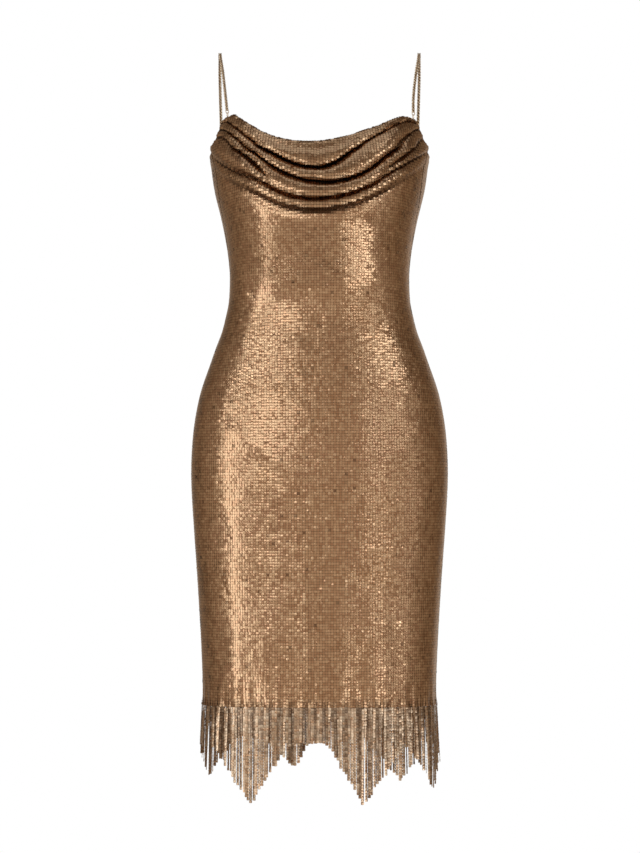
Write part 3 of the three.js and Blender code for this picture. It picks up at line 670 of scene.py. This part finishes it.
def world():
    sky = bpy.data.worlds.new("studio")
    sky.use_nodes = True
    tree = sky.node_tree
    tree.nodes.clear()
    way = addNode(tree, "ShaderNodeTexCoord")
    back = addNode(tree, "ShaderNodeVectorMath", {"operation": "DOT_PRODUCT", 1: (room["rightward"], 1, 0)},
                   {0: way.outputs["Generated"]})
    place = addNode(tree, "ShaderNodeMapRange", {"From Min": -1.0, "From Max": 1.0},
                    {"Value": back.outputs["Value"]})
    ramp = addNode(tree, "ShaderNodeValToRGB", None, {"Fac": place.outputs["Result"]})
    stops = ramp.color_ramp.elements
    for k, row in enumerate(eachRow(roomGlow)):
        stop = stops[k] if k < 2 else stops.new(1)
        stop.position = (row["place"] + 1) / 2
        stop.color = [row["glow"] * (1 - row["warm"] * less) for less in (0, *room["warmth"])] + [1]
    axes = addNode(tree, "ShaderNodeSeparateXYZ", None, {0: way.outputs["Generated"]})
    above = addNode(tree, "ShaderNodeMapRange", {"To Min": 1.0, "To Max": room["zenith"]},
                    {"Value": axes.outputs[2]})
    low, high = room["nadirEdge"]
    below = addNode(tree, "ShaderNodeMapRange", {
        "From Min": low, "From Max": high, "To Min": room["nadir"], "To Max": 1.0},
        {"Value": axes.outputs[2]})
    dim = addNode(tree, "ShaderNodeMath", {"operation": "MULTIPLY"},
                  {0: above.outputs["Result"], 1: below.outputs["Result"]})
    lit = addNode(tree, "ShaderNodeBackground", None,
                  {"Color": ramp.outputs["Color"], "Strength": dim.outputs[0]})
    seen = addNode(tree, "ShaderNodeBackground", {"Color": (room["seen"],) * 3 + (1,)})
    path = addNode(tree, "ShaderNodeLightPath")
    both = addNode(tree, "ShaderNodeMixShader", None, {
        0: path.outputs["Is Camera Ray"], 1: lit.outputs[0], 2: seen.outputs[0]})
    addNode(tree, "ShaderNodeOutputWorld", None, {"Surface": both.outputs[0]})
    bpy.context.scene.world = sky


camera()
floor()
lights()
world()
bpy.context.scene.view_settings.view_transform = "Standard"
print("stage: camera, floor and lights")


# The cloth itself: a thin shell of rings, which carries the plates.
shell = {
    "thickness": 0.6, "behind": 0.1,  # mm, and how far its face lies behind the true surface
    "rowStep": 3, "columnStep": 2,  # it keeps each third row and each second column
    "margin": 2, "mapShare": 0.49,  # mm left round the map of each side, and that side's share of the width
}


def shellPiece(name, surface):
    height, width = surface["arc"].shape
    rows = np.unique(np.append(np.arange(0, height, shell["rowStep"]), height - 1))
    columns = np.arange(0, width, shell["columnStep"])
    points, normals, arc, run = (surface[name][np.ix_(rows, columns)]
                                 for name in ("points", "normals", "arc", "run"))
    depths = (shell["behind"], shell["behind"] + shell["thickness"])
    both = np.concatenate([(points - depth * normals).reshape(-1, 3) for depth in depths])
    index, under = np.arange(arc.size).reshape(arc.shape), arc.size
    a, b = index[:-1, :-1].ravel(), index[1:, :-1].ravel()
    c, d = index[1:, 1:].ravel(), index[:-1, 1:].ravel()
    rim = np.concatenate([index[0, :-1], index[:-1, -1], index[-1, :0:-1], index[:0:-1, 0]])
    after = np.roll(rim, -1)
    faces = np.concatenate([np.stack([a, b, c, d], 1), np.stack([a, d, c, b], 1) + under,
                            np.stack([rim, after, after + under, rim + under], 1)])
    margin, share = shell["margin"], shell["mapShare"]
    u = (arc / (2 * surface["limit"].max() + 2 * margin) + 0.5).ravel()
    v = ((run + margin) / (surface["run"].max() + 2 * margin)).ravel()
    bake = np.concatenate([np.stack([u * share, v], 1), np.stack([1 - share + u * share, v], 1)])
    place = np.stack([arc.ravel(), run.ravel()], 1)
    return meshPiece(name, both, faces, ringFinish, {"OFBake": bake, "cloth": np.concatenate([place, place])})


plate = {
    "pitch": 3.6, "half": 1.75, "cut": 1.25,  # half its width, and half the flat of each side
    "crown": 0.19, "lift": 0.3,
    "tilt": 1.9, "strayTilt": 5.5, "strayShare": 0.04,  # degrees of random lean, and how many stray
    "upReach": 1.2, "edgeShare": 0.9,  # mm either side for a plate's way up, and how near an edge it may lie
    "mapMargin": 4,
    # Painted light: crests are painted paler as a painted highlight, hollows and undersides are painted
    # darker as painted shade, and painted shade darkens each plate's rim.
    "crest": (0.04, 0.25), "crestSheen": 0.6, "topTone": 1.15,  # bends for each mm
    "valley": (0.03, 0.16), "valleyShade": 0.85, "under": (0.38, 0.8), "underShade": 0.6,
    "hem": (-14, -3), "hemShade": 0.35, "darkShare": 0.005, "darkShade": 0.45, "rimShade": 0.24,
}

# Small undulations of the worn cloth lean its plates together, as gentle waves of many lengths.
ruffle = {"waves": 36, "shortest": 13, "longest": 120, "lean": 0.36}  # mm, mm, degrees each


def plateRim():
    h, c = plate["half"], plate["cut"]
    return np.array([(h, -c), (h, c), (c, h), (-c, h), (-h, c), (-h, -c), (-c, -h), (c, -h)])


rimPoints = len(plateRim())


def scatter(count):  # small random lean of each plate, with a few that stray further
    spread = np.where(random.random(count) < plate["strayShare"], plate["strayTilt"], plate["tilt"])
    return np.radians(random.normal(size=(2, count)) * spread)


def ruffleLean(across, run):
    shares, angles, phases = random.random((3, ruffle["waves"]))
    lean = np.zeros((2, len(across)))
    for share, angle, phase in zip(shares, angles * math.pi, phases * 2 * math.pi):
        length = ruffle["shortest"] * (ruffle["longest"] / ruffle["shortest"]) ** share
        ca, sa = math.cos(angle), math.sin(angle)
        wave = ruffle["lean"] * np.cos(2 * math.pi / length * (across * ca + run * sa) + phase)
        lean += np.radians(np.stack([ca * wave, sa * wave]))
    return lean


def lattice(surface):  # plate centres and their frames, in columns of even pitch counted up from the hem
    pitch, upReach = plate["pitch"], plate["upReach"]
    rows, width = surface["arc"].shape
    reach = int(surface["limit"].max() / pitch) + 1
    places = (np.arange(-reach, reach) + 0.5) * pitch
    at = np.stack([np.interp(places, line, np.arange(width, dtype=float)) for line in surface["arc"]])
    r, k = np.arange(rows)[:, None], np.clip(at.astype(int), 0, width - 2)

    def columnsOf(name):
        table = surface[name]
        t = at - k if table.ndim == 2 else (at - k)[..., None]
        return mix(table[r, k], table[r, k + 1], t)[::-1]

    path, facing, room, bend = (columnsOf(name) for name in ("points", "normals", "limit", "bend"))
    facing = unit(facing)
    found = []
    for i, place in enumerate(places):
        line = path[:, i]
        run = distances(line)
        stations = (np.arange(int(run[-1] / pitch)) + 0.5) * pitch
        if not len(stations):
            continue
        up = pointsAlong(line, run, stations + upReach) - pointsAlong(line, run, stations - upReach)
        keep = abs(place) + plate["half"] * plate["edgeShare"] < np.interp(stations, run, room[:, i])
        parts = (pointsAlong(line, run, stations), unit(up), unit(pointsAlong(facing[:, i], run, stations)),
                 np.full(len(stations), place), stations, np.interp(stations, run, bend[:, i]))
        found.append([part[keep] for part in parts])
    return [np.concatenate(parts) for parts in zip(*found)]


def platesPiece(name, surface, middle):  # middle is the arc of the panel's centre, from centre front
    centre, up, normal, across, run, bend = lattice(surface)
    arcs = across if middle == 0 else np.where(across <= 0, middle + across, across - middle)
    count = len(centre)
    side = unit(np.cross(up, normal))
    leanA, leanB = scatter(count) + ruffleLean(across, run)
    normal = unit(normal + leanA[:, None] * side + leanB[:, None] * up)
    side = unit(np.cross(up, normal))
    up = np.cross(normal, side)
    rim = plateRim()
    base = centre + plate["lift"] * normal
    corners = base[:, None] + rim[:, 0, None] * side[:, None] + rim[:, 1, None] * up[:, None]
    points = np.concatenate([base[:, None] + plate["crown"] * normal[:, None], corners], axis=1)
    first = np.arange(count)[:, None] * (rimPoints + 1)
    k = np.arange(rimPoints)
    faces = np.stack([np.broadcast_to(first, (count, rimPoints)), first + 1 + k,
                      first + 1 + (k + 1) % rimPoints], -1)
    margin, local = plate["mapMargin"], np.concatenate([[(0, 0)], rim])
    u = (across[:, None] + local[:, 0]) / (2 * surface["limit"].max() + 2 * margin) + 0.5
    v = (run[:, None] + local[:, 1] + margin) / (run.max() + 2 * margin)
    crest, valley = smoothStep(-bend, *plate["crest"]), smoothStep(bend, *plate["valley"])
    # crests get a painted highlight: their tone is pushed toward the pale colour
    tone = np.clip(random.random(count) + plate["crestSheen"] * crest, 0, plate["topTone"])
    shade = plate["darkShade"] * (random.random(count) < plate["darkShare"])
    # painted shade in the hollows, under the rolls and between the hem's clumps
    shade = np.maximum(shade, plate["valleyShade"] * valley)
    shade = np.maximum(shade, plate["underShade"] * smoothStep(-normal[:, 2], *plate["under"]))
    shade = np.maximum(shade, plate["hemShade"] * smoothStep(-run, *plate["hem"]) * clumpShade(arcs))
    # painted shade round each plate's rim, so that each plate shows as a lit dot
    rubbedAndRimShade = np.concatenate([[0], np.full(rimPoints, plate["rimShade"])])
    print(f"stage: {name}, {count} plates")
    return meshPiece(name, points, faces.reshape(-1, 3), plateFinish,
                     {"OFBake": np.stack([u.ravel(), v.ravel()], 1)},
                     {"plateToneAndSheen": np.repeat(tone, rimPoints + 1),
                      "plateShade": (shade[:, None] + rubbedAndRimShade).ravel()})


def measured(surface):  # adds the normals, the bend down the cloth, and the run up from the hem
    points = surface["points"]
    down = np.gradient(points, axis=0)
    surface["normals"] = unit(np.cross(down, np.gradient(points, axis=1)))
    length = np.linalg.norm(down, axis=2)
    turn = np.gradient(down / length[..., None], axis=0) / length[..., None]
    bend = (turn * surface["normals"]).sum(axis=2)  # above zero in a hollow, below on a crest
    for _ in range(2):
        bend[1:-1] = (bend[:-2] + 2 * bend[1:-1] + bend[2:]) / 4
    surface["bend"] = bend
    step = np.linalg.norm(np.diff(points, axis=0), axis=2)
    surface["run"] = np.concatenate([np.zeros((1, points.shape[1])), np.cumsum(step[::-1], axis=0)])[::-1]
    return surface


frontCloth, backCloth = measured(frontSurface()), measured(backSurface())
frontShell = shellPiece("front_mesh_base", frontCloth)
backShell = shellPiece("back_mesh_base", backCloth)
frontPlates = platesPiece("front_mesh_plates", frontCloth, 0)
backPlates = platesPiece("back_mesh_plates", backCloth, halfRound(form["hemDrop"]))
for piece, node in ((frontShell, "front_panel"), (backShell, "back_panel")):
    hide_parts(node)


# The fringe: each strand is a string of small plates, crowned on both sides.
fringe = {
    "strands": 112, "endGap": 0.8,
    "pitch": 3.75, "halfWide": 2.0, "halfTall": 1.9, "crown": 0.6, "backShare": 0.4,  # of its plates
    "firstPlate": 0.1, "startSpread": 0.6,  # plates down to the first, so that rows don't line up
    "uneven": ((1.2, 2.4), (0.8, 5.1)),  # mm of length, and radians from one strand to the next
    "flare": 2.2, "fullLength": 50, "stagger": 0.6, "gather": 0.05, "sway": 0.4,
    "widest": 22, "twist": 10, "flutter": 3,  # degrees: by the clump, by the strand and by the plate
    "turnGain": 1.6, "turnFrom": -0.2, "turnFull": 0.5,  # how a strand turns on its way down
    "clumpShade": 0.62, "tipFade": 0.4, "shadeSpread": 0.12, "darkest": 0.9, "rimShade": 0.34,
    "mapRows": 36, "mapShare": 0.46,
}

# Its lower edge: mm round the hem from centre front, and the length below the hem.
fringeEdge = named("around length", [
    (-407, 52), (-392, 58), (-374, 88), (-334, 47), (-298, 47), (-246, 96), (-202, 49), (-140, 51),
    (-87, 124), (-40, 47), (9, 45), (56, 124), (106, 51), (114, 51), (164, 107), (216, 52), (252, 48),
    (301, 104), (350, 48), (407, 52),
])


def fringePiece(name, fromArc, toArc):
    hem, half = form["hemDrop"] + form["seamGap"], halfRound(form["hemDrop"])
    points, faces, tones, shades, maps = [], [], [], [], []
    size = (fringe["halfWide"], fringe["halfTall"])
    rim = plateRim() / plate["half"] * size
    capPoints = rimPoints + 1
    k = np.arange(rimPoints)
    cap = np.stack([0 * k, 1 + k, 1 + (k + 1) % rimPoints], 1)
    twoSided = np.concatenate([cap, capPoints + cap[:, ::-1]])
    # painted shade round the rim of each strand plate
    rubbedAndRimShade = np.tile(np.concatenate([[0], np.full(rimPoints, fringe["rimShade"])]), 2)
    local = np.tile(np.concatenate([[(0, 0)], rim / size * fringe["mapShare"]]), (2, 1))
    up = np.array([0, 0, 1.0])
    count = 0
    for i in range(fringe["strands"]):
        around = mix(fromArc, toArc, (i + 0.5) / fringe["strands"])
        listed = (around - 2 * half if around > half else around) * fringeEdge["around"][-1] / half
        length = np.interp(listed, fringeEdge["around"], fringeEdge["length"])
        length += sum(most * math.sin(i * rate) for most, rate in fringe["uneven"])
        root, outer = formPoint(hem, around, (0, 1))
        out = unit(outer - root)
        side = np.array([-out[1], out[0], 0])
        slope = clumpSlope(around)
        turn = math.radians(fringe["widest"] * math.tanh(fringe["turnGain"] * slope)
                            + fringe["twist"] * random.normal())
        start = fringe["firstPlate"] + fringe["startSpread"] * random.random()
        stations = np.arange(start, length / fringe["pitch"]) * fringe["pitch"]
        t = stations / length
        across = fringe["sway"] * random.normal() * t - fringe["gather"] * slope * t
        away = fringe["stagger"] * (i % 2)
        away = away + (fringe["flare"] + clump(around)) * min(1, length / fringe["fullLength"]) * t
        centre = root + out * away[:, None] + side * across[:, None] - up * stations[:, None]
        spin = turn * smoothStep(t, fringe["turnFrom"], fringe["turnFull"])
        spin = (spin + np.radians(fringe["flutter"]) * random.normal(size=len(t)))[:, None]
        facing = out * np.cos(spin) + side * np.sin(spin)
        along = side * np.cos(spin) - out * np.sin(spin)
        corners = centre[:, None] + rim[:, 0, None] * along[:, None] + rim[:, 1, None] * up
        front = centre[:, None] + fringe["crown"] * facing[:, None]
        behind = centre[:, None] - fringe["backShare"] * fringe["crown"] * facing[:, None]
        points.append(np.concatenate([front, corners, behind, corners], axis=1).reshape(-1, 3))
        first = 2 * capPoints * (count + np.arange(len(t)))
        faces.append((first[:, None, None] + twoSided).reshape(-1, 3))
        tones.append(np.repeat(random.random(len(t)), 2 * capPoints))
        held = fringe["clumpShade"] * clumpShade(around) * (1 - fringe["tipFade"] * t)
        held = held + fringe["shadeSpread"] * random.normal(size=len(t))
        shades.append(np.clip(held[:, None] + rubbedAndRimShade, 0, fringe["darkest"]).ravel())
        cell = np.stack([0 * t + i, stations / fringe["pitch"]], 1)[:, None] + 0.5 + local
        maps.append((cell / (fringe["strands"], fringe["mapRows"])).reshape(-1, 2))
        count += len(t)
    print(f"stage: {name}, {count} plates")
    return meshPiece(name, np.concatenate(points), np.concatenate(faces), strandFinish,
                     {"OFBake": np.concatenate(maps)},
                     {"plateToneAndSheen": np.concatenate(tones), "plateShade": np.concatenate(shades)})


hemSeam, hemRound = seamArc(form["hemDrop"]), 2 * halfRound(form["hemDrop"])
frontFringe = fringePiece("front_fringe", -hemSeam + fringe["endGap"], hemSeam - fringe["endGap"])
backFringe = fringePiece("back_fringe", hemSeam + fringe["endGap"], hemRound - hemSeam - fringe["endGap"])
for piece, node in ((frontFringe, "fringe_front"), (backFringe, "fringe_back")):
    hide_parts(node)


# The straps: links a little wider than long, turned left and right by turns, with a ring and a long
# link at the front corner.
strap = {
    "share": {"front": 0.985, "back": 0.6}, "rise": {"front": 1.0, "back": 0.6},  # where its ends sit
    "inset": -2,  # its front end lies behind the neck edge's outer face
    "linkRadius": 2.0, "wire": 0.65, "stretch": -0.35, "slant": 0.75,  # mm, and radians of turn
    "around": 14, "section": 6,  # points round a link, and round its wire
    "ring": 2.4, "ringWire": 0.6, "longHalf": 2.4, "longRadius": 1.0, "longWire": 0.5, "overlap": 0.5,
    "shade": 0.05, "turnedShade": 0.7,  # at the ends of the links, where they pass through each other
    "steps": 30, "mapShare": 0.9,
    "route": [(121.4, -47, -56), (125.4, -26, -22), (128.4, -12, -4.6), (129.4, 0, strapTop / 2),
              (129.8, 12, -4.6), (130.0, 27, -26), (128.8, 43, -82)],  # over the shoulder
}


def strapRoute(side):
    neck = readSmooth(foldLines, "across", "neck", side * strap["share"]["front"])
    front = formPoint(neck, side * strap["share"]["front"] * seamArc(neck), strap["inset"])
    drop = float(backDrop(strap["share"]["back"], backTop))
    behind = formPoint(drop, side * (halfRound(drop) - strap["share"]["back"] * backRoom(drop)), 0)
    ends = [front + (0, 0, strap["rise"]["front"]), behind + (0, 0, strap["rise"]["back"])]
    route = [ends[0], *(np.array((side * x, y, z)) for x, y, z in strap["route"]), ends[1]]
    return refine([p[:, None] for p in route], [strap["steps"]] * (len(route) - 1))[:, :, 0]


def link(centre, along, wide, radius, wire, stretch):  # a ring of wire, drawn out along its length
    a = np.linspace(0, 2 * math.pi, strap["around"], endpoint=False)
    b = np.linspace(0, 2 * math.pi, strap["section"], endpoint=False)
    spoke = np.cos(a)[:, None] * along + np.sin(a)[:, None] * wide
    middle = centre + radius * spoke + stretch * np.sign(np.cos(a))[:, None] * along
    points = middle[:, None] + wire * (np.cos(b)[None, :, None] * spoke[:, None]
                                       + np.sin(b)[None, :, None] * np.cross(along, wide))
    n, m = len(a), len(b)
    i, j = np.meshgrid(np.arange(n), np.arange(m), indexing="ij")
    nextI, nextJ = (i + 1) % n, (j + 1) % m
    quad = np.stack([i * m + j, nextI * m + j, nextI * m + nextJ, i * m + nextJ], -1).reshape(-1, 4)
    turn = np.stack([i / n, j / m], -1).reshape(-1, 2)
    return points.reshape(-1, 3), quad, turn, np.repeat(np.abs(np.cos(a)), m)


def strapPiece(name, side):
    path = strapRoute(side)
    run = distances(path)
    ring, longHalf, overlap = strap["ring"], strap["longHalf"], strap["overlap"]
    pitch = 2 * (strap["linkRadius"] + strap["stretch"] - strap["wire"])
    start = 2 * (longHalf + ring - overlap)  # the long link and the end ring come first
    count = int((run[-1] - start) / pitch)
    links = [(start + pitch * (i + 0.5), i % 2, strap["linkRadius"], strap["wire"], strap["stretch"])
             for i in range(count)]
    links += [(2 * longHalf - overlap + ring, 0, ring, strap["ringWire"], 0),
              (longHalf, 1, strap["longRadius"], strap["longWire"], longHalf - strap["longRadius"])]
    points, faces, shades, maps = [], [], [], []
    total = 0
    for k, (station, turned, radius, wire, stretch) in enumerate(links):
        centre, ahead = pointsAlong(path, run, np.array([station, station + 0.5]))
        along = unit(ahead - centre)
        wide = unit(np.array([1.0, 0, 0]) - along[0] * along)
        slant = strap["slant"] * (1 - 2 * turned)
        wide = wide * math.cos(slant) + np.cross(along, wide) * math.sin(slant)
        corners, quads, turn, ends = link(centre, along, wide, radius, wire, stretch)
        points.append(corners)
        faces.append(quads + total)
        shades.append(ends * (strap["shade"] + strap["turnedShade"] * turned if k < count else 0))
        maps.append(turn * (1, strap["mapShare"] / len(links)) + (0, k / len(links)))
        total += len(corners)
    print(f"stage: {name}, {count} links, {run[-1]:.0f} mm")
    return meshPiece(name, np.concatenate(points), np.concatenate(faces), chainFinish,
                     {"OFBake": np.concatenate(maps)}, {"linkShade": np.concatenate(shades)})


for name, side, node in (("left_chain_strap", -1, "strap_left"), ("right_chain_strap", 1, "strap_right")):
    piece = strapPiece(name, side)
    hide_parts(node)
